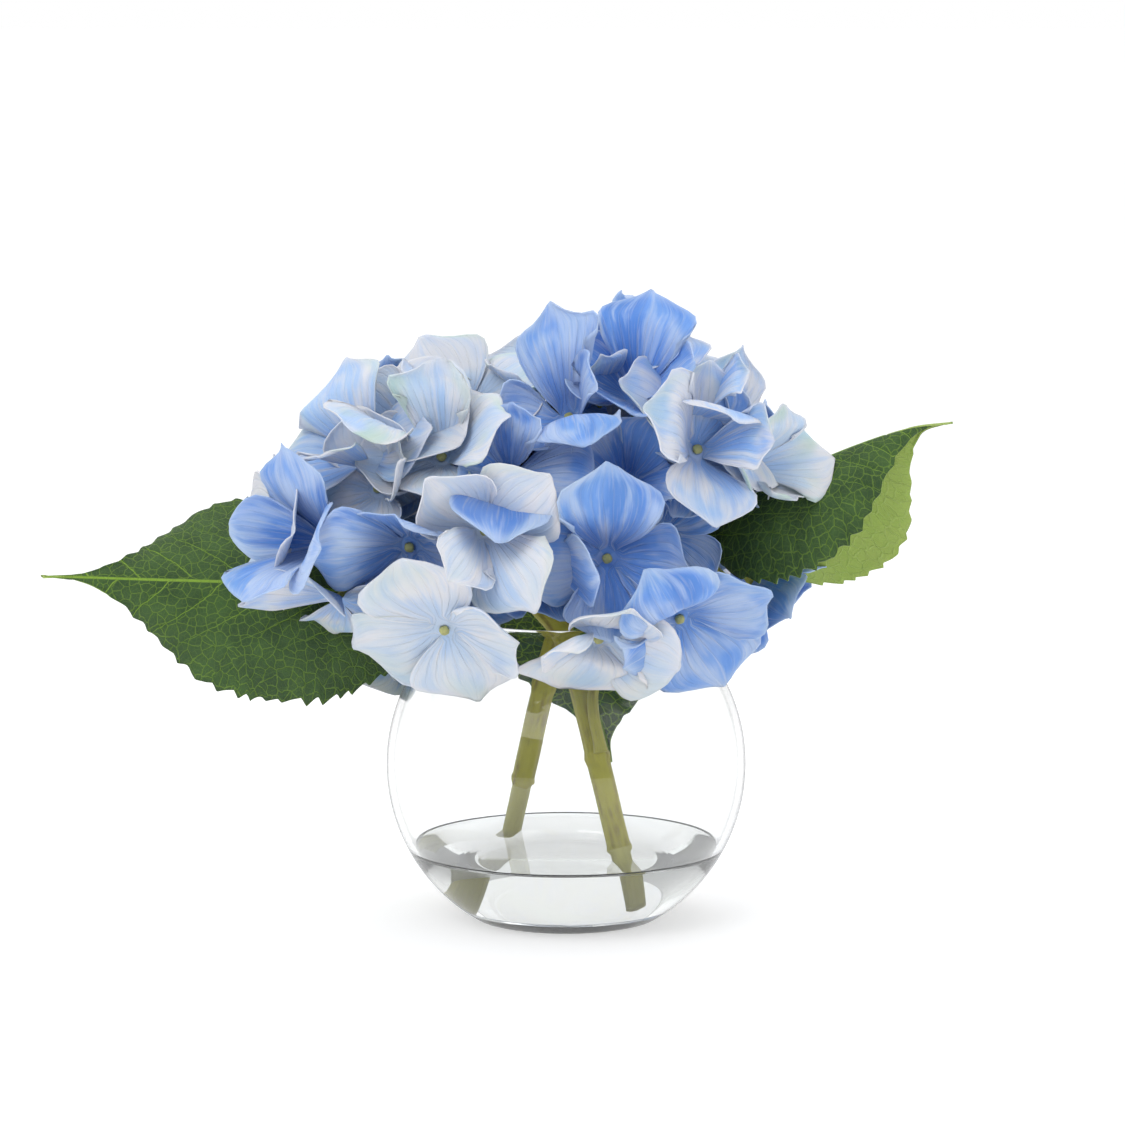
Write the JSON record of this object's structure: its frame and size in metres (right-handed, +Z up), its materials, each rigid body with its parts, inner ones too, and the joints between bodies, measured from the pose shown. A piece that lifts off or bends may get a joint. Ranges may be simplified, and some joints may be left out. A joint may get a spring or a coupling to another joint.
{
  "type": "artificial hydrangeas in a glass bubble bowl",
  "caption": "Blue and white silk hydrangea heads with serrated leaves on crossing stems, standing in set clear water in a round glass bubble bowl.",
  "frame": {"origin": "centre of the bowl's flat base, on the surface that it stands on", "axes": "+Z up, -Y towards the arrangement's front, +X to the right as seen from the front"},
  "size_m": [0.3235, 0.1796, 0.2275],
  "materials": {
    "glass": "clear blown glass",
    "water": "clear set resin that looks like water",
    "stem": "moulded olive plastic with fine ridges",
    "leaf": "printed and embossed polyester, pale green underside",
    "branch": "moulded olive plastic",
    "deep_blue": "dyed polyester petal, streaked blue",
    "pale_blue": "dyed polyester petal, pale blue",
    "grey_blue": "dyed polyester petal, grey blue with green edges",
    "white": "dyed polyester petal, warm white with blue streaks"
  },
  "bodies": {
    "root": {"bowl": "glass", "water": "water", "stem_left": "stem", "stem_right": "stem", "leaf_left": "leaf", "leaf_left_stalk": "stem", "leaf_right": "leaf", "leaf_right_stalk": "stem", "leaf_bowl": "leaf", "leaf_bowl_stalk": "stem", "spray_left": "branch", "spray_right": "branch", "floret_01": "white", "floret_02": "white", "floret_03": "deep_blue", "floret_04": "deep_blue", "floret_05": "pale_blue", "floret_06": "grey_blue", "floret_07": "grey_blue", "floret_08": "pale_blue", "floret_09": "deep_blue", "floret_10": "deep_blue", "floret_11": "white", "floret_12": "deep_blue", "floret_13": "pale_blue", "floret_14": "grey_blue", "floret_15": "white", "floret_16": "deep_blue", "floret_17": "pale_blue", "floret_18": "deep_blue", "floret_19": "white", "floret_20": "grey_blue", "floret_21": "deep_blue", "floret_22": "pale_blue", "floret_23": "pale_blue", "floret_24": "deep_blue", "floret_25": "grey_blue", "floret_26": "pale_blue", "floret_27": "pale_blue", "floret_28": "deep_blue", "floret_29": "pale_blue", "floret_30": "deep_blue", "floret_31": "pale_blue", "floret_32": "deep_blue", "floret_33": "deep_blue", "floret_34": "deep_blue", "floret_35": "pale_blue", "floret_36": "pale_blue", "floret_37": "pale_blue", "floret_38": "grey_blue", "floret_39": "white", "floret_40": "grey_blue", "floret_41": "grey_blue", "floret_42": "deep_blue", "floret_43": "deep_blue", "floret_44": "deep_blue", "floret_45": "deep_blue", "floret_46": "deep_blue"}
  },
  "joints": []
}
